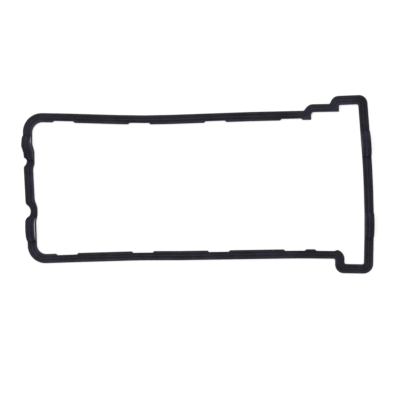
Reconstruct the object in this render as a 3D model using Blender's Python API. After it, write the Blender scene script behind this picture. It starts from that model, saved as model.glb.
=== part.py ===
"""Moulded rubber valve cover gasket: one closed strip with four half-moon plugs.

The strip lies flat, seat down, on z = 0. Its outline is a ring of corners that are
joined by straight runs. The same cross-section runs all the way round: an outer
flange, a shallow valley, a sealing bead, a second valley and an inner flange whose
lip is cut back between the bores. At each end of the two cam lines the strip
climbs over a half-moon plug that fills a semicircle.
Sizes are in millimetres and are turned into metres by MM.
"""
import math
from collections import namedtuple

import bmesh
import bpy
from mathutils import Vector

MM = 0.001

# Strip section
STRIP_WIDTH = 10.8
LIP_WIDTH = 1.7
FLANGE_HEIGHT = 4.0
BEAD_FROM_OUTSIDE = 5.6
BEAD_HEIGHT = 1.0
BEAD_HALF_WIDTH = 0.9
BEAD_SHOULDER = 0.55
VALLEY_DEPTH = 0.4
VALLEY_WIDTH = 1.5
EDGE_ROUND = 0.5
NARROW_STRIP_WIDTH = STRIP_WIDTH - LIP_WIDTH
SLIGHT_BEND = 900.0

# Half-moon plugs
MOON_RADIUS = 14.4
MOON_FOOT_FILLET = 0.6
MOON_SETBACK = 0.6
MOON_DRAFT = 0.3
CAM_SPACING = 92.4
LEFT_CAM_DROP = 4.5

# Pattern along the bores
BORE_PITCH = 86.7
BORE_COUNT = 4
LEFT_END_TO_FIRST_GAP = 46.3
BOTTOM_GAP_SHIFT = 4.3
LIP_GAP_LENGTH = 21.5
LIP_RAMP = 1.8
END_GAP_START = 28.9
END_GAP_LENGTH = 19.6

# Where the long sides bend slightly, from the left end
TOP_FIRST_BEND_X = 50.0
TOP_SECOND_BEND_X = 139.0
BOTTOM_FIRST_BEND_X = 59.7
BOTTOM_SECOND_BEND_X = 134.2

# Chain end box, measured from the last gap
FIRST_STEP_X = 14.1
SECOND_STEP_X = 43.5
FIRST_BLOCK_REACH = 8.6
SECOND_BLOCK_REACH = 10.7
BETWEEN_BLOCKS_WIDTH = 9.3
BOX_LEFT_X = 49.6
BOX_RIGHT_X = 92.75
STEP_FILLET = 1.7
STEP_ROUND = 10.0
BLOCK_EDGE_ROUND = 0.4

# Bolt bosses that the left end passes
UPPER_BOLT_X = -4.0
UPPER_BOLT_Y = 27.1
UPPER_BOLT_RADIUS = 8.0
BITE_TOP_Y = 29.6
LOWER_BOLT_X = -0.4
LOWER_BOLT_Y = -31.1
LOWER_BOLT_RADIUS = 8.8
PLAIN_END_BEND_Y = 25.7
BOLT_STEP = 1.3

# How finely the shape is divided
CORNER_STEP_DEG = 12.0
MOON_STEPS = 12
FOOT_STEPS = 3
CLOSEST_STATIONS = 0.3
SQUARE_END = 1.0
FILLET_SHARE_OF_EDGE = 0.98
SHARP_ANGLE_DEG = 35.0

RUBBER_COLOUR = (0.035, 0.036, 0.045, 1.0)
RUBBER_ROUGHNESS = 0.45

# A corner's width and riser describe the run that follows it. A riser is the distance to
# the upright inner face of a square block.
Corner = namedtuple("Corner", "x y outer_r inner_r width riser", defaults=(STRIP_WIDTH, 0.0))
Arc = namedtuple("Arc", "outer inner")
Station = namedtuple("Station", "outer inner travel")
Bolt = namedtuple("Bolt", "x y radius")


def lay_out_corners():
    """Outer corners of the ring, clockwise from the top left, seen from above."""
    left = 0.0
    last = left + LEFT_END_TO_FIRST_GAP + (BORE_COUNT - 1) * BORE_PITCH
    step_1 = last + FIRST_STEP_X
    step_2 = last + SECOND_STEP_X
    up = CAM_SPACING / 2
    down = -CAM_SPACING / 2
    low = LOWER_BOLT_Y
    high = PLAIN_END_BEND_Y
    full = STRIP_WIDTH
    slim = BETWEEN_BLOCKS_WIDTH
    return [
        Corner(left - 0.7, up + 36.1, 21.7, 11.7),
        Corner(left + TOP_FIRST_BEND_X, up + 35.05, SLIGHT_BEND, SLIGHT_BEND),
        Corner(left + TOP_SECOND_BEND_X, up + 32.3, SLIGHT_BEND, SLIGHT_BEND),
        Corner(last - 46.8, up + 36.35, SLIGHT_BEND, SLIGHT_BEND),
        Corner(step_1, up + 37.65, STEP_FILLET, BLOCK_EDGE_ROUND, full, FIRST_BLOCK_REACH),
        Corner(step_1 + 5.6, up + 44.95, STEP_ROUND, 3.4, slim),
        Corner(step_2, up + 45.35, STEP_FILLET, BLOCK_EDGE_ROUND, full, SECOND_BLOCK_REACH),
        Corner(step_2 + 4.0, up + 54.2, STEP_ROUND, 1.4),
        Corner(last + 85.75, up + 55.7, STEP_ROUND, 1.9),
        Corner(last + 91.8, up - 24.3, SLIGHT_BEND, SLIGHT_BEND),
        Corner(last + 94.05, down + 11.4, SLIGHT_BEND, SLIGHT_BEND),
        Corner(last + BOX_RIGHT_X, down - 55.5, 11.4, 1.9),
        Corner(last + BOX_LEFT_X, down - 54.7, STEP_ROUND, 1.7),
        Corner(last + BOX_LEFT_X, down - 38.5, STEP_FILLET, 11.0),
        Corner(last + 10.0, down - 38.1, SLIGHT_BEND, SLIGHT_BEND),
        Corner(last - 126.5, down - 40.4, SLIGHT_BEND, SLIGHT_BEND),
        Corner(left + BOTTOM_SECOND_BEND_X, down - 40.6, SLIGHT_BEND, SLIGHT_BEND),
        Corner(left + BOTTOM_FIRST_BEND_X, down - 42.9, SLIGHT_BEND, SLIGHT_BEND),
        Corner(left + 5.7, down - 44.8, 20.5, 10.6),
        Corner(left + 3.9, low - 10.1, 6.0, 16.0),
        Corner(left + 5.6, low - 2.7, 6.0, 16.0),
        Corner(left + 5.5, low + 3.0, 6.0, 16.0),
        Corner(left + 2.45, low + 10.4, 6.0, 16.0),
        Corner(left + 0.4, high - 6.6, 8.0, 10.0),
        Corner(left + 2.1, high - 0.6, 8.0, 10.0),
        Corner(left + 1.9, high + 10.8, 8.0, 18.0),
        Corner(left - 0.5, high + 17.7, 10.0, 20.0),
    ]


# First and last corner of the runs that carry gaps and half-moons
TOP_RUN = (0, 4)
RIGHT_RUN = (8, 11)
BOTTOM_RUN = (13, 18)
LEFT_RUN = (18, 27)


def bolt_bosses():
    return [
        Bolt(UPPER_BOLT_X, UPPER_BOLT_Y, UPPER_BOLT_RADIUS),
        Bolt(LOWER_BOLT_X, LOWER_BOLT_Y, LOWER_BOLT_RADIUS),
    ]


def point(corner):
    return Vector((corner.x, corner.y))


def meet(p, d, q, e):
    """Where the line through p along d meets the line through q along e."""
    cross = d.x * e.y - d.y * e.x
    gap = q - p
    return p + d * ((gap.x * e.y - gap.y * e.x) / cross)


def inner_lines(corners):
    """One line for each run: parallel to its outer edge, or upright at a square block."""
    lines = []
    for here, after in zip(corners, corners[1:] + corners[:1]):
        along = (point(after) - point(here)).normalized()
        if here.riser:
            lines.append((Vector((here.x + here.riser, here.y)), Vector((0.0, 1.0))))
        else:
            inward = Vector((along.y, -along.x))
            lines.append((point(here) + inward * here.width, along))
    return lines


def fillet_reach(points, radii):
    """Length that each fillet takes off its two edges, limited by the edges themselves."""
    count = len(points)
    reach = []
    for i in range(count):
        back = points[i - 1] - points[i]
        ahead = points[(i + 1) % count] - points[i]
        reach.append(radii[i] / math.tan(back.angle(ahead) / 2))
    room = [1.0] * count
    for i in range(count):
        j = (i + 1) % count
        fit = FILLET_SHARE_OF_EDGE * (points[j] - points[i]).length / (reach[i] + reach[j])
        room[i] = min(room[i], fit)
        room[j] = min(room[j], fit)
    return [r * min(1.0, k) for r, k in zip(reach, room)]


def fillet_arc(before, corner, after, reach, steps):
    """Points of the round that replaces one corner."""
    back = (before - corner).normalized()
    ahead = (after - corner).normalized()
    half = back.angle(ahead) / 2
    radius = reach * math.tan(half)
    centre = corner + (back + ahead).normalized() * (radius / math.sin(half))
    first = corner + back * reach - centre
    last = corner + ahead * reach - centre
    turn = math.atan2(first.x * last.y - first.y * last.x, first.dot(last))
    start = math.atan2(first.y, first.x)
    arc = []
    for i in range(steps + 1):
        angle = start + turn * i / steps
        arc.append(centre + Vector((math.cos(angle), math.sin(angle))) * radius)
    return arc


class Ring:
    """The strip seen from above: outer and inner edge, paired station by station."""

    def __init__(self, corners):
        outer = [point(c) for c in corners]
        lines = inner_lines(corners)
        inner = [meet(*lines[i - 1], *lines[i]) for i in range(len(corners))]
        outer_reach = fillet_reach(outer, [c.outer_r for c in corners])
        inner_reach = fillet_reach(inner, [c.inner_r for c in corners])
        self.stations = []
        self.corner_travel = []
        arcs = []
        for i in range(len(corners)):
            j = (i + 1) % len(corners)
            turn = math.pi - (outer[i - 1] - outer[i]).angle(outer[j] - outer[i])
            steps = max(2, math.ceil(math.degrees(turn) / CORNER_STEP_DEG))
            arcs.append(Arc(
                fillet_arc(outer[i - 1], outer[i], outer[j], outer_reach[i], steps),
                fillet_arc(inner[i - 1], inner[i], inner[j], inner_reach[i], steps),
            ))
        for corner, arc, after in zip(corners, arcs, arcs[1:] + arcs[:1]):
            for k, (a, b) in enumerate(zip(arc.outer, arc.inner)):
                self.add(a, b)
                if k == len(arc.outer) // 2:
                    self.corner_travel.append(self.stations[-1].travel)
            self.add_square_ends(arc, after, corner)
        first = self.stations[0]
        self.length = self.stations[-1].travel + self.step_to(first.outer, first.inner)
        self.corner_travel.append(self.length)

    def add_square_ends(self, arc, after, corner):
        """Stations square to a run, just inside both of its ends, where it is long enough."""
        start = arc.outer[-1]
        along = (after.outer[0] - start).normalized()
        inward = Vector((along.y, -along.x))
        begin = max(0.0, along.dot(arc.inner[-1] - start)) + SQUARE_END
        end = min(along.dot(after.outer[0] - start), along.dot(after.inner[0] - start))
        end -= SQUARE_END
        if corner.riser or end < begin + SQUARE_END:
            return
        for distance in (begin, end):
            place = start + along * distance
            self.add(place, place + inward * corner.width)

    def bead(self, outer, inner):
        return outer + (inner - outer).normalized() * BEAD_FROM_OUTSIDE

    def step_to(self, outer, inner):
        last = self.stations[-1]
        return (self.bead(outer, inner) - self.bead(last.outer, last.inner)).length

    def add(self, outer, inner):
        travel = 0.0
        if self.stations:
            travel = self.stations[-1].travel + self.step_to(outer, inner)
        self.stations.append(Station(outer, inner, travel))

    def spans(self):
        """Pairs of stations that follow each other, the last one closing the ring."""
        first = self.stations[0]
        closed = self.stations + [Station(first.outer, first.inner, self.length)]
        return zip(closed, closed[1:])

    def at(self, travel):
        """Outer and inner edge at a distance along the bead."""
        travel = travel % self.length
        for a, b in self.spans():
            if a.travel <= travel <= b.travel:
                share = (travel - a.travel) / (b.travel - a.travel)
                return a.outer.lerp(b.outer, share), a.inner.lerp(b.inner, share)
        raise ValueError("travel outside the ring")

    def find(self, axis, value, run):
        """Distance along the bead at which its x (0) or y (1) has a value, in one run."""
        low = self.corner_travel[run[0]]
        high = self.corner_travel[run[1]]
        for a, b in self.spans():
            p = self.bead(a.outer, a.inner)[axis]
            q = self.bead(b.outer, b.inner)[axis]
            if low <= a.travel and b.travel <= high and min(p, q) <= value <= max(p, q):
                return a.travel + (b.travel - a.travel) * (value - p) / (q - p)
        raise ValueError("no such place on this run")


def lip_gaps(ring):
    """Start and end, along the bead, of each stretch where the inner lip is cut back."""
    half = LIP_GAP_LENGTH / 2
    gaps = []
    for n in range(BORE_COUNT):
        x = LEFT_END_TO_FIRST_GAP + n * BORE_PITCH
        middle = ring.find(0, x, TOP_RUN)
        gaps.append((middle - half, middle + half))
        middle = ring.find(0, x + BOTTOM_GAP_SHIFT, BOTTOM_RUN)
        gaps.append((middle - half, middle + half))
    last = LEFT_END_TO_FIRST_GAP + (BORE_COUNT - 1) * BORE_PITCH
    end = ring.find(0, last + END_GAP_START, BOTTOM_RUN)
    gaps.append((end - END_GAP_LENGTH, end))
    return gaps


def lip_cut(travel, gaps):
    """How far the inner edge is set back at one place, in mm."""
    for start, end in gaps:
        outside = max(start - travel, travel - end, 0.0)
        if outside < LIP_RAMP:
            return LIP_WIDTH * (1 - outside / LIP_RAMP)
    return 0.0


def bolt_cut(outer, inner, bolts):
    """How far the outer edge is set back to clear a bolt boss, in mm."""
    along = (inner - outer).normalized()
    for bolt in bolts:
        gap = outer - Vector((bolt.x, bolt.y))
        if gap.length < bolt.radius and outer.y < BITE_TOP_Y:
            b = gap.dot(along)
            return -b + math.sqrt(b * b + bolt.radius ** 2 - gap.length_squared)
    return 0.0


def moon_rail():
    """Line that the flange follows over a half-moon: offset, height and outward normal."""
    foot = BEAD_HEIGHT + MOON_FOOT_FILLET
    reach = math.sqrt((MOON_RADIUS + foot) ** 2 - foot ** 2)
    join = math.asin(foot / (MOON_RADIUS + foot))
    half = []
    for i in range(FOOT_STEPS):
        angle = -math.pi / 2 + (math.pi / 2 - join) * i / FOOT_STEPS
        normal = Vector((-math.cos(angle), -math.sin(angle)))
        half.append((-reach - normal.x * foot, foot - normal.y * foot, normal))
    for i in range(MOON_STEPS // 2 + 1):
        angle = math.pi - join - (math.pi / 2 - join) * i / (MOON_STEPS // 2)
        normal = Vector((math.cos(angle), math.sin(angle)))
        half.append((MOON_RADIUS * normal.x, MOON_RADIUS * normal.y, normal))
    rest = [(-x, z, Vector((-n.x, n.y))) for x, z, n in reversed(half[:-1])]
    return half + rest


def moon_centres(ring):
    """Distances along the bead of the half-moon centres."""
    half = CAM_SPACING / 2
    right = [ring.find(1, y, RIGHT_RUN) for y in (half, -half)]
    left = [ring.find(1, y - LEFT_CAM_DROP, LEFT_RUN) for y in (-half, half)]
    return right + left


def section(length, cut):
    """Points of the cross-section: distance from the outer edge, height, kind.

    Kind "floor" stays on the table, "ledge" stays at flange height, and "top" climbs
    over the half-moons. Heights of top points count from the flange.
    """
    bead = BEAD_FROM_OUTSIDE - cut / 2
    out = bead / BEAD_FROM_OUTSIDE
    room = length - bead
    into = min(1.0, room / (NARROW_STRIP_WIDTH - BEAD_FROM_OUTSIDE))
    valley = BEAD_HALF_WIDTH + VALLEY_WIDTH / 2
    rise = BEAD_HALF_WIDTH + VALLEY_WIDTH
    face = length - (MOON_SETBACK + EDGE_ROUND / 2) * into
    inner_flange = bead + rise * into
    rim = max(face - MOON_DRAFT * into, (inner_flange + face) / 2)
    return [
        (0.0, 0.0, "floor"),
        (0.0, -EDGE_ROUND, "top"),
        (EDGE_ROUND * out, 0.0, "top"),
        (bead - rise * out, 0.0, "top"),
        (bead - valley * out, -VALLEY_DEPTH, "top"),
        (bead - BEAD_HALF_WIDTH * out, BEAD_HEIGHT * BEAD_SHOULDER, "top"),
        (bead, BEAD_HEIGHT, "top"),
        (bead + BEAD_HALF_WIDTH * into, BEAD_HEIGHT * BEAD_SHOULDER, "top"),
        (bead + valley * into, -VALLEY_DEPTH, "top"),
        (inner_flange, 0.0, "top"),
        (rim, 0.0, "top"),
        (face, 0.0, "ledge"),
        (length, -EDGE_ROUND / 2, "ledge"),
        (length, 0.0, "floor"),
    ]


def collect_stations(ring, gaps, bolts, moons, rail):
    """Every place along the bead that gets a cross-section, in order."""
    reach = rail[-1][0]
    wanted = [s.travel for s in ring.stations]
    for start, end in gaps:
        wanted += [start - LIP_RAMP, start, end, end + LIP_RAMP]
    for bolt in bolts:
        middle = ring.find(1, bolt.y, LEFT_RUN)
        count = math.ceil(bolt.radius / BOLT_STEP)
        wanted += [middle + BOLT_STEP * i for i in range(-count, count + 1)]
    level = (0.0, Vector((0.0, 1.0)))
    stations = []
    for travel in sorted(t % ring.length for t in wanted):
        on_moon = any(abs(travel - m) < reach + CLOSEST_STATIONS for m in moons)
        repeated = stations and travel - stations[-1][0] < CLOSEST_STATIONS
        if not on_moon and not repeated:
            stations.append((travel, *level))
    for middle in moons:
        stations += [(middle + x, z, normal) for x, z, normal in rail]
    return sorted(stations, key=lambda s: s[0])


def build_gasket(ring):
    """Sweep the section through all stations and close it into one ring."""
    gaps = lip_gaps(ring)
    bolts = bolt_bosses()
    rail = moon_rail()
    stations = collect_stations(ring, gaps, bolts, moon_centres(ring), rail)
    mesh = bmesh.new()
    rows = []
    for travel, climb, normal in stations:
        outer, inner = ring.at(travel)
        cut = bolt_cut(outer, inner, bolts)
        length = (inner - outer).length - cut - lip_cut(travel, gaps)
        row = []
        for distance, height, kind in section(length, cut):
            base = travel
            z = 0.0
            if kind == "top":
                base = travel + height * normal.x
                z = FLANGE_HEIGHT + climb + height * normal.y
            elif kind == "ledge":
                z = FLANGE_HEIGHT + height
            a, b = ring.at(base)
            place = a + (b - a).normalized() * (distance + cut)
            row.append(mesh.verts.new((place.x * MM, place.y * MM, z * MM)))
        rows.append(row)
    size = len(rows[0])
    for row, after in zip(rows, rows[1:] + rows[:1]):
        for k in range(size):
            j = (k + 1) % size
            mesh.faces.new((row[k], row[j], after[j], after[k]))
    bmesh.ops.recalc_face_normals(mesh, faces=mesh.faces)
    return mesh


def centre_on_origin(mesh):
    """Put the middle of the ring over the origin, seat on z = 0."""
    xs = [v.co.x for v in mesh.verts]
    ys = [v.co.y for v in mesh.verts]
    middle = Vector(((min(xs) + max(xs)) / 2, (min(ys) + max(ys)) / 2, 0.0))
    bmesh.ops.translate(mesh, verts=mesh.verts, vec=-middle)


def rubber():
    material = bpy.data.materials.new("rubber")
    material.use_nodes = True
    shader = material.node_tree.nodes["Principled BSDF"]
    shader.inputs["Base Color"].default_value = RUBBER_COLOUR
    shader.inputs["Roughness"].default_value = RUBBER_ROUGHNESS
    shader.inputs["Metallic"].default_value = 0.0
    return material


def main():
    for old in list(bpy.data.objects):
        bpy.data.objects.remove(old)
    mesh = build_gasket(Ring(lay_out_corners()))
    centre_on_origin(mesh)
    data = bpy.data.meshes.new("gasket")
    mesh.to_mesh(data)
    mesh.free()
    data.shade_smooth()
    data.set_sharp_from_angle(angle=math.radians(SHARP_ANGLE_DEG))
    gasket = bpy.data.objects.new("gasket", data)
    gasket.data.materials.append(rubber())
    bpy.context.scene.collection.objects.link(gasket)


main()
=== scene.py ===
import bisect
import math
from collections import namedtuple

import bmesh
import bpy
from mathutils import Matrix, Vector


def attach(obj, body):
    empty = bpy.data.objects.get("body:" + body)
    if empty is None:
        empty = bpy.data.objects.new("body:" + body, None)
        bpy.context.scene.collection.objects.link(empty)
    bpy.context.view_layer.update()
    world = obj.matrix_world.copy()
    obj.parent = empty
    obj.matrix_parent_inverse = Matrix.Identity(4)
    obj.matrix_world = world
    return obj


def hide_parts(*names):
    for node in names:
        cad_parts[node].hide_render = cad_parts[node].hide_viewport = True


mm = 0.001

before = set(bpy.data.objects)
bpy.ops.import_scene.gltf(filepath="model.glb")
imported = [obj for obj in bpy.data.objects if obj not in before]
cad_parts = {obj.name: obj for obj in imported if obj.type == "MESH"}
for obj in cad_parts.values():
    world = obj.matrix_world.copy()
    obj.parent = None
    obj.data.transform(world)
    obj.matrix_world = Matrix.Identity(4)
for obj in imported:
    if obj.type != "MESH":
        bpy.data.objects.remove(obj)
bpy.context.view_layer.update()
print("frame loaded")


# ring seen from above, in mm; x counts from the plain end, y from midway between the cams
ring = {
    "width": 10.8,
    "slimWidth": 9.3,
    "camSpacing": 92.4,
    "leftCamDrop": 4.5,
    "borePitch": 86.7,
    "boreCount": 4,
    "firstGapX": 46.3,
    "bottomGapShift": 4.3,
    "firstStepX": 14.1,
    "secondStepX": 43.5,
    "firstBlockReach": 8.6,
    "secondBlockReach": 10.7,
    "boxLeftX": 49.6,
    "boxRightX": 92.75,
    "plainEndBendY": 25.7,
    "softBend": 900.0,
    "stepRound": 10.0,
    "stepFillet": 1.7,
    "blockRound": 0.4,
    "roundShare": 0.98,   # the most of a straight that its two rounds take
    "turnStep": 4.0,      # degrees between two places on a round
    "fewestTurns": 2,
    "longestStep": 4.0,   # mm between two places on a straight
    "closestStep": 0.2,
    "squareEnd": 1.0,
}

# cut-backs of the inner lip beside the bores
lip = {
    "depth": 1.7,
    "gapLength": 21.5,
    "ramp": 2.4,
    "rampSteps": 8,
    "endGapStart": 28.9,
    "endGapLength": 19.6,
}

# round bites for the two bolt bosses at the plain end: x, y and radius of each
bolts = {
    "upper": (-4.0, 27.1, 8.0),
    "lower": (-0.4, -31.1, 8.8),
    "topY": 29.6,        # no bite goes above this
    "step": 0.5,         # mm between two places along a bite
    "margin": 2.0,       # mm past a bite with places as close
    "soften": 0.7,       # mm over which a bite's corners are rounded off
    "softenSteps": 3,
}

# an outer corner; the width and the reach of a square block are those of the run that follows
Corner = namedtuple("Corner", "x y outerRound innerRound width blockReach", defaults=(ring["width"], 0.0))


def gapX(n):
    return ring["firstGapX"] + n * ring["borePitch"]


lastGapX = gapX(ring["boreCount"] - 1)


# clockwise from the top left
def ringCorners():
    up = ring["camSpacing"] / 2
    down = -up
    low = bolts["lower"][1]
    high = ring["plainEndBendY"]
    wide = ring["width"]
    soft = ring["softBend"]
    turn = ring["stepRound"]
    nip = ring["stepFillet"]
    edge = ring["blockRound"]
    stepOne = lastGapX + ring["firstStepX"]
    stepTwo = lastGapX + ring["secondStepX"]
    boxLeft = lastGapX + ring["boxLeftX"]
    return [
        Corner(-0.7, up + 36.1, 21.7, 11.7),
        Corner(50.0, up + 35.05, soft, soft),
        Corner(139.0, up + 32.3, soft, soft),
        Corner(lastGapX - 46.8, up + 36.35, soft, soft),
        Corner(stepOne, up + 37.65, nip, edge, wide, ring["firstBlockReach"]),
        Corner(stepOne + 5.6, up + 44.95, turn, 3.4, ring["slimWidth"]),
        Corner(stepTwo, up + 45.35, nip, edge, wide, ring["secondBlockReach"]),
        Corner(stepTwo + 4.0, up + 54.2, turn, 1.4),
        Corner(lastGapX + 85.75, up + 55.7, turn, 1.9),
        Corner(lastGapX + 91.8, up - 24.3, soft, soft),
        Corner(lastGapX + 94.05, down + 11.4, soft, soft),
        Corner(lastGapX + ring["boxRightX"], down - 55.5, 11.4, 1.9),
        Corner(boxLeft, down - 54.7, turn, 1.7),
        Corner(boxLeft, down - 38.5, nip, 11.0),
        Corner(lastGapX + 10.0, down - 38.1, soft, soft),
        Corner(lastGapX - 126.5, down - 40.4, soft, soft),
        Corner(134.2, down - 40.6, soft, soft),
        Corner(59.7, down - 42.9, soft, soft),
        Corner(5.7, down - 44.8, 20.5, 10.6),
        Corner(3.9, low - 10.1, 6.0, 16.0),
        Corner(5.6, low - 2.7, 6.0, 16.0),
        Corner(5.5, low + 3.0, 6.0, 16.0),
        Corner(2.45, low + 10.4, 6.0, 16.0),
        Corner(0.4, high - 6.6, 8.0, 10.0),
        Corner(2.1, high - 0.6, 8.0, 10.0),
        Corner(1.9, high + 10.8, 8.0, 18.0),
        Corner(-0.5, high + 17.7, 10.0, 20.0),
    ]


topRun, rightRun, bottomRun, leftRun = (0, 4), (8, 11), (13, 18), (18, 27)  # first and last corner


def meetLines(pointA, alongA, pointB, alongB):
    gap = pointB - pointA
    return pointA + alongA * (gap.cross(alongB) / alongA.cross(alongB))


# parallel to the outer edge, or upright where a square block ends
def innerLines(corners):
    lines = []
    for here, after in zip(corners, corners[1:] + corners[:1]):
        start = Vector((here.x, here.y))
        along = (Vector((after.x, after.y)) - start).normalized()
        if here.blockReach:
            lines.append((start + Vector((here.blockReach, 0.0)), Vector((0.0, 1.0))))
        else:
            lines.append((start + Vector((along.y, -along.x)) * here.width, along))
    return lines


# what each round takes off its two edges, never more than the edges have
def roundReach(points, radii):
    count = len(points)
    reach = []
    for i in range(count):
        back = points[i - 1] - points[i]
        ahead = points[(i + 1) % count] - points[i]
        reach.append(radii[i] / math.tan(back.angle(ahead) / 2))
    room = [1.0] * count
    for i in range(count):
        j = (i + 1) % count
        fit = ring["roundShare"] * (points[j] - points[i]).length / (reach[i] + reach[j])
        room[i] = min(room[i], fit)
        room[j] = min(room[j], fit)
    return [r * min(1.0, k) for r, k in zip(reach, room)]


def roundArc(before, corner, after, reach, steps):
    back = (before - corner).normalized()
    ahead = (after - corner).normalized()
    half = back.angle(ahead) / 2
    radius = reach * math.tan(half)
    centre = corner + (back + ahead).normalized() * (radius / math.sin(half))
    first = corner + back * reach - centre
    last = corner + ahead * reach - centre
    turn = math.atan2(first.cross(last), first.dot(last))
    start = math.atan2(first.y, first.x)
    arc = []
    for i in range(steps + 1):
        angle = start + turn * i / steps
        arc.append(centre + Vector((math.cos(angle), math.sin(angle))) * radius)
    return arc


beadAt = 5.6  # mm from the outer edge to the crest of the bead


def onBead(outer, inner):
    return outer + (inner - outer).normalized() * beadAt


# outer and inner edge of the strip, pair by pair, with the distance along the bead
class Track:
    def __init__(self, corners):
        count = len(corners)
        outer = [Vector((c.x, c.y)) for c in corners]
        lines = innerLines(corners)
        inner = [meetLines(*lines[i - 1], *lines[i]) for i in range(count)]
        outerReach = roundReach(outer, [c.outerRound for c in corners])
        innerReach = roundReach(inner, [c.innerRound for c in corners])
        arcs = []
        for i in range(count):
            j = (i + 1) % count
            turn = math.pi - (outer[i - 1] - outer[i]).angle(outer[j] - outer[i])
            steps = max(ring["fewestTurns"], math.ceil(math.degrees(turn) / ring["turnStep"]))
            arcs.append((roundArc(outer[i - 1], outer[i], outer[j], outerReach[i], steps),
                         roundArc(inner[i - 1], inner[i], inner[j], innerReach[i], steps)))
        self.pairs = []
        self.travel = []
        self.cornerTravel = []
        for i in range(count):
            for k, pair in enumerate(zip(*arcs[i])):
                self.add(*pair)
                if k == len(arcs[i][0]) // 2:
                    self.cornerTravel.append(self.travel[-1])
            self.addSquareEnds(arcs[i], arcs[(i + 1) % count], corners[i])
        self.add(*self.pairs[0])
        self.length = self.travel[-1]
        self.cornerTravel.append(self.length)

    def add(self, outer, inner):
        travel = 0.0
        if self.pairs:
            travel = self.travel[-1] + (onBead(outer, inner) - onBead(*self.pairs[-1])).length
        self.pairs.append((outer, inner))
        self.travel.append(travel)

    # a run starts and ends square to its edges
    def addSquareEnds(self, here, after, corner):
        outerStart, innerStart = here[0][-1], here[1][-1]
        outerEnd, innerEnd = after[0][0], after[1][0]
        along = (outerEnd - outerStart).normalized()
        inward = Vector((along.y, -along.x))
        clear = ring["squareEnd"]
        begin = max(0.0, along.dot(innerStart - outerStart)) + clear
        end = min(along.dot(outerEnd - outerStart), along.dot(innerEnd - outerStart)) - clear
        if corner.blockReach or end < begin + clear:
            return
        for distance in (begin, end):
            place = outerStart + along * distance
            self.add(place, place + inward * corner.width)

    def at(self, travel):
        travel = travel % self.length
        k = min(max(bisect.bisect_right(self.travel, travel), 1), len(self.travel) - 1)
        span = self.travel[k] - self.travel[k - 1]
        share = (travel - self.travel[k - 1]) / span if span else 0.0
        a, b = self.pairs[k - 1], self.pairs[k]
        return a[0].lerp(b[0], share), a[1].lerp(b[1], share)

    # where the bead's x (0) or y (1) has a value on one run
    def find(self, axis, value, run):
        low, high = self.cornerTravel[run[0]], self.cornerTravel[run[1]]
        for k in range(1, len(self.pairs)):
            if self.travel[k - 1] < low or self.travel[k] > high:
                continue
            p, q = onBead(*self.pairs[k - 1])[axis], onBead(*self.pairs[k])[axis]
            if min(p, q) <= value <= max(p, q) and p != q:
                return self.travel[k - 1] + (self.travel[k] - self.travel[k - 1]) * (value - p) / (q - p)
        raise ValueError("no such place on this run")


track = Track(ringCorners())
print("ring laid out,", round(track.length), "mm along the bead")


def lipGaps():
    found = []
    half = lip["gapLength"] / 2
    for n in range(ring["boreCount"]):
        topMiddle = track.find(0, gapX(n), topRun)
        bottomMiddle = track.find(0, gapX(n) + ring["bottomGapShift"], bottomRun)
        found += [(topMiddle - half, topMiddle + half), (bottomMiddle - half, bottomMiddle + half)]
    end = track.find(0, lastGapX + lip["endGapStart"], bottomRun)
    found.append((end - lip["endGapLength"], end))
    return found


gaps = lipGaps()


# how far the inner edge is set back, with eased ramps
def lipCut(travel):
    for start, end in gaps:
        outside = max(start - travel, travel - end, 0.0)
        if outside < lip["ramp"]:
            share = 1 - outside / lip["ramp"]
            return lip["depth"] * share * share * (3 - 2 * share)
    return 0.0


def sharpBite(travel):
    outer, inner = track.at(travel)
    along = (inner - outer).normalized()
    for x, y, radius in (bolts["upper"], bolts["lower"]):
        gap = outer - Vector((x, y))
        if gap.length < radius and outer.y < bolts["topY"]:
            b = gap.dot(along)
            return -b + math.sqrt(b * b + radius ** 2 - gap.length_squared)
    return 0.0


# the bite's own corners are a little round
def boltBite(travel):
    reach, steps = bolts["soften"], bolts["softenSteps"]
    nearby = [sharpBite(travel + reach * k / steps) for k in range(-steps, steps + 1)]
    return sum(nearby) / len(nearby)


# half-moon plugs
moon = {"radius": 14.4, "footRound": 0.6, "beadHeight": 1.0, "steps": 44, "footSteps": 6}


# line that the flange follows over a plug: offset along the bead, climb, outward normal
def moonRail():
    foot = moon["beadHeight"] + moon["footRound"]
    radius = moon["radius"]
    reach = math.sqrt((radius + foot) ** 2 - foot ** 2)
    join = math.asin(foot / (radius + foot))
    half = []
    for i in range(moon["footSteps"]):
        angle = -math.pi / 2 + (math.pi / 2 - join) * i / moon["footSteps"]
        normal = Vector((-math.cos(angle), -math.sin(angle)))
        half.append((-reach - normal.x * foot, foot - normal.y * foot, normal))
    steps = moon["steps"] // 2
    for i in range(steps + 1):
        angle = math.pi - join - (math.pi / 2 - join) * i / steps
        normal = Vector((math.cos(angle), math.sin(angle)))
        half.append((radius * normal.x, radius * normal.y, normal))
    return half + [(-x, z, Vector((-n.x, n.y))) for x, z, n in reversed(half[:-1])]


# distances along the bead that need a cross-section
def wantedTravels():
    wanted = list(track.travel[:-1])
    for start, end in gaps:
        for k in range(lip["rampSteps"] + 1):
            out = lip["ramp"] * k / lip["rampSteps"]
            wanted += [start - out, end + out]
    for x, y, radius in (bolts["upper"], bolts["lower"]):
        middle = track.find(1, y, leftRun)
        count = math.ceil((radius + bolts["margin"]) / bolts["step"])
        wanted += [middle + bolts["step"] * k for k in range(-count, count + 1)]
    wanted = sorted(t % track.length for t in wanted)
    travels = []
    for here, after in zip(wanted, wanted[1:] + [track.length]):
        parts = max(1, math.ceil((after - here) / ring["longestStep"]))
        travels += [here + (after - here) * k / parts for k in range(parts)]
    return travels


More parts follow.
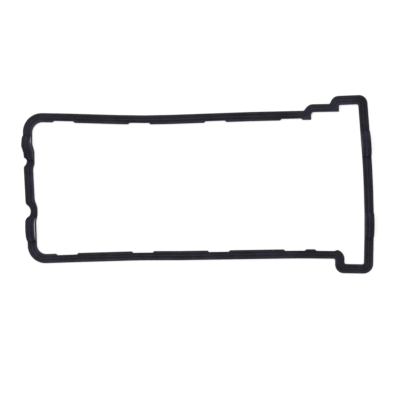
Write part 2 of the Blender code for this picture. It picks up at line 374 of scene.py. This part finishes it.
# every cross-section in order: travel, climb, outward normal
def stations():
    rail = moonRail()
    reach = rail[-1][0]
    half = ring["camSpacing"] / 2
    moons = [track.find(1, y, rightRun) for y in (half, -half)]
    moons += [track.find(1, y - ring["leftCamDrop"], leftRun) for y in (-half, half)]
    level = Vector((0.0, 1.0))
    places = []
    for travel in wantedTravels():
        onMoon = any(abs(travel - m) < reach + ring["closestStep"] for m in moons)
        if not onMoon and (not places or travel - places[-1][0] > ring["closestStep"]):
            places.append((travel, 0.0, level))
    for middle in moons:
        places += [(middle + x, climb, normal) for x, climb, normal in rail]
    return sorted(places, key=lambda place: place[0])


# cross-section of the full-width strip, in mm: across from the outer edge, and height
strip = {
    "flange": 4.0,
    "draft": 0.12,         # lean of the side walls on both sides of the parting line
    "partingAt": 2.0,
    "partingHalf": 0.16,
    "beadHalf": 0.9,
    "beadShoulder": 0.55,
    "beadHeight": 1.08,
    "valleyWidth": 1.5,
    "valleyDepth": 0.48,
    "plugFace": 9.95,      # upright inner face of the half-moons
    "plugRimRound": 0.55,
    "plugRimShares": (0.0, 0.5, 0.82, 0.96, 1.0),  # places on the rim's round
    "plugRimGap": 0.05,    # from the rim's round to the face
    "plugRimClimb": 2.0,   # height over which the rim's round comes in
    "ledgeGap": 0.1,       # from the face to the ledge at its foot
    "edgeRound": 0.4,
    "softRound": 0.34,
    "footEdgeRound": 0.18,
    "segments": {"edge": 4, "soft": 3, "foot": 2},
    "tableHeight": 0.01,   # what lies lower is on the table
    "weldWithin": 0.001,
    "sharpAngle": 60.0,
}


# the corners of a flat sketch are rounded, and the outline is read off in order
def stripSection():
    s = strip
    top, wide, table = s["flange"], ring["width"], s["tableHeight"]
    valley = s["beadHalf"] + s["valleyWidth"] / 2
    rise = s["beadHalf"] + s["valleyWidth"]
    rim = s["plugFace"] - s["plugRimRound"] - s["plugRimGap"]
    outline = [
        (s["draft"], 0.0, "foot"),
        (s["draft"], s["partingAt"] - s["partingHalf"], ""),
        (0.0, s["partingAt"], ""),
        (s["draft"], s["partingAt"] + s["partingHalf"], ""),
        (s["draft"], top, "edge"),
        (beadAt - rise, top, "soft"),
        (beadAt - valley, top - s["valleyDepth"], "soft"),
        (beadAt - s["beadHalf"], top + s["beadShoulder"], "soft"),
        (beadAt, top + s["beadHeight"], "soft"),
        (beadAt + s["beadHalf"], top + s["beadShoulder"], "soft"),
        (beadAt + valley, top - s["valleyDepth"], "soft"),
        (beadAt + rise, top, "soft"),
        *[(rim + s["plugRimRound"] * share, top, "") for share in s["plugRimShares"]],
        (s["plugFace"] + s["ledgeGap"], top, ""),
        (wide, top, "edge"),
        (wide - s["draft"], 0.0, "foot"),
    ]
    sketch = bmesh.new()
    corners = [sketch.verts.new((across, height, 0.0)) for across, height, kind in outline]
    sketch.faces.new(corners)
    rounds = {"edge": s["edgeRound"], "soft": s["softRound"], "foot": s["footEdgeRound"]}
    for kind, size in rounds.items():
        chosen = [v for v, row in zip(corners, outline) if row[2] == kind]
        bmesh.ops.bevel(sketch, geom=chosen, offset=size, offset_type="OFFSET", profile=0.5,
                        segments=s["segments"][kind], affect="VERTICES", material=-1)
    sketch.faces.ensure_lookup_table()
    points = [v.co.xy for v in sketch.faces[0].verts]
    sketch.free()
    first = min(range(len(points)), key=lambda k: (points[k].y > table, points[k].x))
    points = points[first:] + points[:first]
    if points[1].y < table:
        points = [points[0]] + points[:0:-1]
    return [tuple(p) for p in points]


section = stripSection()
rows = stations()
print("section has", len(section), "points and the ring", len(rows), "places")


# across on the full-width section turned into across on a narrower or bitten one
def squeezed(across, length, bite):
    bead = beadAt - bite / 2
    rise = strip["beadHalf"] + strip["valleyWidth"]
    into = min(1.0, (length - bead) / (ring["width"] - lip["depth"] - beadAt))
    face = length - (ring["width"] - strip["plugFace"]) * into
    marks = (0.0, beadAt, beadAt + rise, strip["plugFace"], ring["width"])
    goals = (0.0, bead, bead + rise * into, face, length)
    k = 1
    while across > marks[k] and k < len(marks) - 1:
        k += 1
    share = (across - marks[k - 1]) / (marks[k] - marks[k - 1])
    return goals[k - 1] + (goals[k] - goals[k - 1]) * share


# one point of one cross-section: its place in mm, and how far it is over the strip's surface
def placeOnStrip(row, point, bite, length):
    travel, climb, normal = row
    across, height = point
    top = strip["flange"]
    radius = strip["plugRimRound"]
    pastRim = across - (strip["plugFace"] - radius - strip["plugRimGap"])
    spot, z = travel, height
    if across < beadAt and height < top - 2 * strip["edgeRound"]:  # outer wall
        surface = height - top - climb
    elif across > strip["plugFace"]:  # ledge and inner wall
        surface = across + climb + top - height
    else:  # all between them climbs over the half-moons
        surface = across
        lift = height - top
        if pastRim > 0.0:
            rounded = radius - math.sqrt(max(0.0, radius ** 2 - pastRim ** 2))
            lift -= rounded * min(1.0, climb / strip["plugRimClimb"])
        spot = travel + lift * normal.x
        z = top + climb + lift * normal.y
    outer, inner = track.at(spot)
    place = outer + (inner - outer).normalized() * (squeezed(across, length, bite) + bite)
    return Vector((place.x, place.y, z)), surface


# a sheet with one column for each place on the ring is rolled into the strip and closed
def makeGasket():
    columns, lines = len(rows), len(section)
    shape = bmesh.new()
    half = 0.5  # the sheet is one unit wide each way
    bmesh.ops.create_grid(shape, x_segments=columns, y_segments=lines, size=half)
    roll = shape.verts.layers.float_vector.new("strip")  # the ring as one round roll, for the streaks
    over = shape.verts.layers.float.new("across")  # mm from the outer edge, below 0 on the outer wall
    sizes = []
    for row in rows:
        outer, inner = track.at(row[0])
        bite = boltBite(row[0])
        sizes.append((bite, (inner - outer).length - bite - lipCut(row[0])))
    rollRadius = track.length / (2 * math.pi)
    for vert in shape.verts:
        column = round((vert.co.x + half) * columns) % columns
        line = round((vert.co.y + half) * lines) % lines
        bite, length = sizes[column]
        place, surface = placeOnStrip(rows[column], section[line], bite, length)
        angle = rows[column][0] / rollRadius
        vert[roll] = Vector((math.cos(angle) * rollRadius, math.sin(angle) * rollRadius, surface)) * mm
        vert[over] = section[line][0] if surface > 0 else surface
        vert.co = place * mm
    bmesh.ops.remove_doubles(shape, verts=shape.verts, dist=strip["weldWithin"] * mm)
    bmesh.ops.recalc_face_normals(shape, faces=shape.faces)
    low = [min(v.co[k] for v in shape.verts) for k in range(2)]
    high = [max(v.co[k] for v in shape.verts) for k in range(2)]
    middle = Vector(((low[0] + high[0]) / 2, (low[1] + high[1]) / 2, 0.0))
    bmesh.ops.translate(shape, verts=shape.verts, vec=-middle)
    mesh = bpy.data.meshes.new("mouldedGasket")
    shape.to_mesh(mesh)
    shape.free()
    mesh.shade_smooth()
    mesh.set_sharp_from_angle(angle=math.radians(strip["sharpAngle"]))
    piece = bpy.data.objects.new("mouldedGasket", mesh)
    bpy.context.scene.collection.objects.link(piece)
    evenShade = piece.modifiers.new("evenShade", "WEIGHTED_NORMAL")
    evenShade.keep_sharp = True
    return piece


gasket = makeGasket()
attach(gasket, "root")
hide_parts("gasket")
print("gasket modelled,", len(gasket.data.polygons), "faces")


# black rubber: colours are linear, sizes across the strip in mm, noise scales per metre,
# places on the ring in metres
rubberLook = {
    "outerColour": (0.0158, 0.0174, 0.0252),
    "innerColour": (0.0212, 0.0208, 0.0328),
    "violetColour": (0.0305, 0.0298, 0.0540),
    # painted light: the outer flange on the near side is lighter and more violet
    "nearSidePaintedLight": (0.0262, 0.0256, 0.0430),
    "dustAndHighlightColour": (0.0750, 0.0750, 0.0880),
    "zoneFrom": 2.0,
    "zoneTo": 4.4,
    # painted light: the plain end is made lighter and more violet
    "plainEndLitFrom": -0.150,
    "plainEndLitTo": -0.188,
    "nearSideLitFrom": -0.050,
    "nearSideLitTo": -0.080,
    "noiseFrom": 0.3,      # a noise lies between these most of the time
    "noiseTo": 0.7,
    "cloudScale": 14.0,
    "cloudDetail": 3.0,
    "cloudFrom": 0.42,
    "cloudTo": 0.66,
    "cloudShare": 0.4,
    "mottleScale": 85.0,
    "mottleDetail": 4.0,
    "mottleShare": 0.26,
    "streakAlong": 16.0,
    "streakAcross": 820.0,
    "streakDetail": 4.0,
    "streakShare": 0.32,
    # painted highlight: the bead's crest is made lighter, off the half-moons
    "crestHighlightReach": 1.2,
    "crestHighlightCore": 0.1,
    "crestHighlightShare": 0.40,
    "lightPoolAt": (0.143, 0.090, 0.004),  # painted pool of light by the upper corner of the wide end
    "lightPoolReach": 0.040,
    "lightPoolShare": 0.75,
    "plugFull": 6.4,       # mm over the table where the half-moons' own look is complete
    # painted shade: the half-moons' colour is darkened by this share
    "plugShade": 0.05,
    # lighter edges: partly dust, partly a painted highlight on the rounded edges
    "outerDustAndHighlightReach": 2.8,
    "innerDustAndHighlightReach": 2.8,
    "edgeDustAndHighlight": 0.44,
    "edgePatchFrom": 0.25,
    "edgePatchTo": 0.75,
    "edgePatchLeast": 0.5,
    "speckScale": 620.0,
    "speckDetail": 1.0,
    "speckFrom": 0.70,
    "speckTo": 0.76,
    "speckDust": 0.35,
    "roughness": 0.44,
    "roughnessSpread": 0.16,
    "plugRoughness": 0.30,  # added on the half-moons
    "specular": 0.28,
    "faceFrom": 0.04,      # mm before the flat face where its mask starts
    "faceFull": 0.01,      # mm before it where the mask is full
    "faceHeld": 0.10,      # mm past it where the mask is still full
    "faceEnd": 0.14,
    "faceRoughness": 0.14,
    "shinyFrom": 0.0,      # the half-moons' flat faces shine at the plain end alone
    "shinyTo": -0.1,
    "dullAt": 0.036,       # except about this y
    "dullFrom": 0.014,
    "dullTo": 0.008,
    "dullRoughness": 0.80,
    "grainScale": 2400.0,
    "grainDetail": 2.0,
    "grainDepth": 0.00002,
    "streakDepth": 0.00004,
}


def link(tree, fromNode, fromSocket, toNode, toSocket):
    tree.links.new(fromNode.outputs[fromSocket], toNode.inputs[toSocket])


def attribute(tree, name):
    node = tree.nodes.new("ShaderNodeAttribute")
    node.attribute_name = name
    return node


def noise(tree, vector, scale, detail):
    node = tree.nodes.new("ShaderNodeTexNoise")
    node.inputs["Scale"].default_value = scale
    node.inputs["Detail"].default_value = detail
    tree.links.new(vector, node.inputs["Vector"])
    return node.outputs["Fac"]


# a smooth step from one level to another
def ease(tree, value, fromLow, fromHigh, toLow=0.0, toHigh=1.0):
    node = tree.nodes.new("ShaderNodeMapRange")
    node.interpolation_type = "SMOOTHSTEP"
    levels = {"From Min": fromLow, "From Max": fromHigh, "To Min": toLow, "To Max": toHigh}
    for name, number in levels.items():
        node.inputs[name].default_value = number
    tree.links.new(value, node.inputs["Value"])
    return node.outputs["Result"]


def combine(tree, operation, a, b):
    node = tree.nodes.new("ShaderNodeMath")
    node.operation = operation
    for socket, value in zip(node.inputs, (a, b)):
        if isinstance(value, float):
            socket.default_value = value
        else:
            tree.links.new(value, socket)
    return node.outputs["Value"]


# how far a value is from a level, on either side
def away(tree, value, level):
    return combine(tree, "ABSOLUTE", combine(tree, "SUBTRACT", value, level), 0.0)


def blend(tree, factor, a, b, mode="MIX"):
    node = tree.nodes.new("ShaderNodeMix")
    node.data_type = "RGBA"
    node.blend_type = mode
    for name, value in (("Factor", factor), ("A", a), ("B", b)):
        socket = next(s for s in node.inputs if s.name == name and s.enabled)
        if isinstance(value, tuple):
            socket.default_value = (*value, 1.0)
        elif isinstance(value, float):
            socket.default_value = value
        else:
            tree.links.new(value, socket)
    return next(s for s in node.outputs if s.enabled)


# masks from the distance across the strip and the height over its foot
def stripMasks(tree, across, height):
    look = rubberLook
    edge = strip["edgeRound"]
    # edge masks for the dust and the painted highlight on the rounded edges
    outerEdge = ease(tree, across, edge + look["outerDustAndHighlightReach"], edge)
    innerEdge = ease(tree, across, ring["width"] - look["innerDustAndHighlightReach"], ring["width"] - edge)
    onPlug = ease(tree, height, strip["flange"] * mm, look["plugFull"] * mm)
    offPlug = ease(tree, onPlug, 0.0, 1.0, 1.0, 0.0)
    # mask of the painted highlight along the bead's crest
    crest = ease(tree, away(tree, across, beadAt), look["crestHighlightReach"], look["crestHighlightCore"])
    plug = strip["plugFace"]
    faceStart = ease(tree, across, plug - look["faceFrom"], plug - look["faceFull"])
    faceEnd = ease(tree, across, plug + look["faceEnd"], plug + look["faceHeld"])
    return {
        "edge": combine(tree, "MAXIMUM", outerEdge, combine(tree, "MULTIPLY", innerEdge, offPlug)),
        "crest": combine(tree, "MULTIPLY", crest, offPlug),
        "onPlug": onPlug,
        "plugFace": combine(tree, "MULTIPLY", faceStart, faceEnd),
    }


# the streaks run along the strip and are stretched by their own attribute
def rubberNoises(tree, place):
    look = rubberLook
    stretch = tree.nodes.new("ShaderNodeVectorMath")
    stretch.operation = "MULTIPLY"
    link(tree, attribute(tree, "strip"), "Vector", stretch, 0)
    stretch.inputs[1].default_value = (look["streakAlong"], look["streakAlong"], look["streakAcross"])
    noises = {"streaks": noise(tree, stretch.outputs["Vector"], 1.0, look["streakDetail"])}
    for name in ("cloud", "mottle", "grain", "speck"):
        noises[name] = noise(tree, place, look[name + "Scale"], look[name + "Detail"])
    return noises


# greener outer flange and violet inner half, more violet in clouds and on the half-moons; painted light
# makes the plain end lighter and more violet, and the near side's outer flange lighter
def rubberTone(tree, xyz, across, masks, noises):
    look = rubberLook
    # painted light at the plain end
    plainEndLit = ease(tree, xyz["X"], look["plainEndLitFrom"], look["plainEndLitTo"])
    # painted light: the near side's outer flange turns lighter and more violet
    nearSideLit = ease(tree, xyz["Y"], look["nearSideLitFrom"], look["nearSideLitTo"])
    # the half-moons and the plain end's painted light both take the violet tone
    violet = combine(tree, "MAXIMUM", masks["onPlug"], plainEndLit)
    clouds = ease(tree, noises["cloud"], look["cloudFrom"], look["cloudTo"], 0.0, look["cloudShare"])
    inner = blend(tree, combine(tree, "MAXIMUM", clouds, violet), look["innerColour"], look["violetColour"])
    outer = blend(tree, nearSideLit, look["outerColour"], look["nearSidePaintedLight"])
    outer = blend(tree, violet, outer, look["innerColour"])
    return blend(tree, ease(tree, across, look["zoneFrom"], look["zoneTo"]), outer, inner)


# streaks and mottling brighten or darken the tone; the bead's crest gets a painted highlight, the
# half-moons painted shade, and one lighter spot is a painted pool of light
def rubberLift(tree, place, masks, noises):
    look = rubberLook
    low, high = look["noiseFrom"], look["noiseTo"]
    lift = combine(tree, "ADD",
                   ease(tree, noises["streaks"], low, high, -look["streakShare"], look["streakShare"]),
                   ease(tree, noises["mottle"], low, high, -look["mottleShare"], look["mottleShare"]))
    # painted highlight on the bead's crest
    lift = combine(tree, "ADD", lift, combine(tree, "MULTIPLY", masks["crest"], look["crestHighlightShare"]))
    # painted shade on the half-moons
    lift = combine(tree, "SUBTRACT", lift, combine(tree, "MULTIPLY", masks["onPlug"], look["plugShade"]))
    # painted pool of light: a lighter spot by the upper corner of the wide end
    fromLightPool = tree.nodes.new("ShaderNodeVectorMath")
    fromLightPool.operation = "DISTANCE"
    tree.links.new(place, fromLightPool.inputs[0])
    fromLightPool.inputs[1].default_value = look["lightPoolAt"]
    lightPool = ease(tree, fromLightPool.outputs["Value"], look["lightPoolReach"], look["lightPoolReach"] / 2,
                 0.0, look["lightPoolShare"])
    return combine(tree, "ADD", combine(tree, "ADD", lift, lightPool), 1.0)


# dust in sparse specks, and patchy lighter edges that are partly dust and partly a painted highlight on
# their rounds
def rubberDustAndHighlight(tree, masks, noises):
    look = rubberLook
    patches = ease(tree, noises["mottle"], look["edgePatchFrom"], look["edgePatchTo"], look["edgePatchLeast"], 1.0)
    patchyEdge = combine(tree, "MULTIPLY", masks["edge"], patches)
    specks = ease(tree, noises["speck"], look["speckFrom"], look["speckTo"])
    return combine(tree, "ADD", combine(tree, "MULTIPLY", patchyEdge, look["edgeDustAndHighlight"]),
                   combine(tree, "MULTIPLY", specks, look["speckDust"]))


# satin skin, duller on the half-moons, with smooth flat faces at the plain end
def rubberRoughness(tree, xyz, masks, noises):
    look = rubberLook
    rough = combine(tree, "ADD", look["roughness"] - look["roughnessSpread"] / 2,
                    combine(tree, "MULTIPLY", noises["streaks"], look["roughnessSpread"]))
    rough = combine(tree, "ADD", rough, combine(tree, "MULTIPLY", masks["onPlug"], look["plugRoughness"]))
    shiny = combine(tree, "MULTIPLY", ease(tree, xyz["X"], look["shinyFrom"], look["shinyTo"]),
                    ease(tree, away(tree, xyz["Y"], look["dullAt"]), look["dullTo"], look["dullFrom"]))
    faceRough = ease(tree, shiny, 0.0, 1.0, look["dullRoughness"], look["faceRoughness"])
    change = combine(tree, "SUBTRACT", faceRough, rough)
    return combine(tree, "ADD", rough, combine(tree, "MULTIPLY", masks["plugFace"], change))


def rubberBump(tree, noises):
    look = rubberLook
    heights = combine(tree, "ADD", combine(tree, "MULTIPLY", noises["grain"], look["grainDepth"]),
                      combine(tree, "MULTIPLY", noises["streaks"], look["streakDepth"]))
    bump = tree.nodes.new("ShaderNodeBump")
    bump.inputs["Distance"].default_value = 1.0
    bump.inputs["Strength"].default_value = 1.0
    tree.links.new(heights, bump.inputs["Height"])
    return bump.outputs["Normal"]


def mouldedRubber():
    material = bpy.data.materials.new("mouldedRubber")
    material.use_nodes = True
    tree = material.node_tree
    shader = tree.nodes["Principled BSDF"]
    place = tree.nodes.new("ShaderNodeTexCoord").outputs["Object"]
    split = tree.nodes.new("ShaderNodeSeparateXYZ")
    tree.links.new(place, split.inputs["Vector"])
    xyz = split.outputs
    across = attribute(tree, "across").outputs["Fac"]
    masks = stripMasks(tree, across, xyz["Z"])
    noises = rubberNoises(tree, place)

    gain = tree.nodes.new("ShaderNodeCombineColor")
    lift = rubberLift(tree, place, masks, noises)
    for name in ("Red", "Green", "Blue"):
        tree.links.new(lift, gain.inputs[name])
    tone = rubberTone(tree, xyz, across, masks, noises)
    colour = blend(tree, 1.0, tone, gain.outputs["Color"], "MULTIPLY")
    # dust specks, and edges lightened with dust and a painted highlight
    colour = blend(tree, rubberDustAndHighlight(tree, masks, noises), colour, rubberLook["dustAndHighlightColour"])
    tree.links.new(colour, shader.inputs["Base Color"])
    tree.links.new(rubberRoughness(tree, xyz, masks, noises), shader.inputs["Roughness"])
    tree.links.new(rubberBump(tree, noises), shader.inputs["Normal"])
    shader.inputs["Specular IOR Level"].default_value = rubberLook["specular"]
    return material


gasket.data.materials.append(mouldedRubber())
print("rubber made")


# white table, soft light from the far side, and the photo's camera, in metres
studio = {
    "floorSize": 8.0,
    "floorDrop": 0.00005,  # keeps the table clear of the seat
    "floorColour": 0.85,
    "floorRoughness": 0.9,
    "floorGlow": 0.68,
    "worldLight": 0.335,
    "lamps": [  # name, place, size, power
        ("farSideLamp", (0.25, 1.5, 1.7), 2.2, 8.5),
        ("nearSideLamp", (0.0, -1.5, 1.6), 2.2, 1.0),
        ("plainEndLamp", (-1.3, 0.0, 1.7), 2.6, 10.0),
    ],
    "target": (0.00263, -0.01781, 0.0),
    "camera": (0.07683, -0.01781, 1.8136),
    "lens": 143.1,
    "sensorWidth": 36.0,
    "clipEnd": 50.0,
}


# the camera and reflections see the table glow, and its own shade keeps the shadow
def whiteTable():
    material = bpy.data.materials.new("whiteTable")
    material.use_nodes = True
    tree = material.node_tree
    shader = tree.nodes["Principled BSDF"]
    tone = studio["floorColour"]
    shader.inputs["Base Color"].default_value = (tone, tone, tone, 1.0)
    shader.inputs["Roughness"].default_value = studio["floorRoughness"]
    shader.inputs["Specular IOR Level"].default_value = 0.0
    rays = tree.nodes.new("ShaderNodeLightPath")
    seen = combine(tree, "MAXIMUM", rays.outputs["Is Camera Ray"], rays.outputs["Is Glossy Ray"])
    glow = tree.nodes.new("ShaderNodeEmission")
    tree.links.new(combine(tree, "MULTIPLY", seen, studio["floorGlow"]), glow.inputs["Strength"])
    both = tree.nodes.new("ShaderNodeAddShader")
    link(tree, shader, "BSDF", both, 0)
    link(tree, glow, "Emission", both, 1)
    link(tree, both, "Shader", tree.nodes["Material Output"], "Surface")
    return material


def makeFloor():
    sheet = bmesh.new()
    bmesh.ops.create_grid(sheet, x_segments=1, y_segments=1, size=studio["floorSize"] / 2)
    bmesh.ops.translate(sheet, verts=sheet.verts, vec=(0.0, 0.0, -studio["floorDrop"]))
    mesh = bpy.data.meshes.new("tableTop")
    sheet.to_mesh(mesh)
    sheet.free()
    floor = bpy.data.objects.new("tableTop", mesh)
    bpy.context.scene.collection.objects.link(floor)
    mesh.materials.append(whiteTable())


# white where the camera sees it, and a plain soft light everywhere else
def makeWorld():
    world = bpy.data.worlds.new("studioRoom")
    world.use_nodes = True
    bpy.context.scene.world = world
    tree = world.node_tree
    sky = tree.nodes["Background"]
    rays = tree.nodes.new("ShaderNodeLightPath")
    level = tree.nodes.new("ShaderNodeMapRange")
    level.inputs["To Min"].default_value = studio["worldLight"]
    level.inputs["To Max"].default_value = 1.0
    link(tree, rays, "Is Camera Ray", level, "Value")
    sky.inputs["Color"].default_value = (1.0, 1.0, 1.0, 1.0)
    tree.links.new(level.outputs["Result"], sky.inputs["Strength"])


# looks along its own -Z, with the far side of the table upwards
def aim(thing, place, target):
    back = (Vector(place) - Vector(target)).normalized()
    right = Vector((0.0, 1.0, 0.0)).cross(back).normalized()
    turned = Matrix((right, back.cross(right), back)).transposed().to_4x4()
    thing.matrix_world = Matrix.Translation(place) @ turned


def softLamp(name, place, size, power):
    data = bpy.data.lights.new(name, "AREA")
    data.shape = "DISK"
    data.size = size
    data.energy = power
    lamp = bpy.data.objects.new(name, data)
    bpy.context.scene.collection.objects.link(lamp)
    aim(lamp, place, (0.0, 0.0, 0.0))


def makeCamera():
    data = bpy.data.cameras.new("photoCamera")
    data.sensor_width = studio["sensorWidth"]
    data.lens = studio["lens"]
    data.clip_end = studio["clipEnd"]
    camera = bpy.data.objects.new("photoCamera", data)
    bpy.context.scene.collection.objects.link(camera)
    aim(camera, studio["camera"], studio["target"])
    bpy.context.scene.camera = camera


makeFloor()
makeWorld()
for name, place, size, power in studio["lamps"]:
    softLamp(name, place, size, power)
makeCamera()

view = bpy.context.scene.view_settings
view.view_transform = "Standard"

print("scene ready")
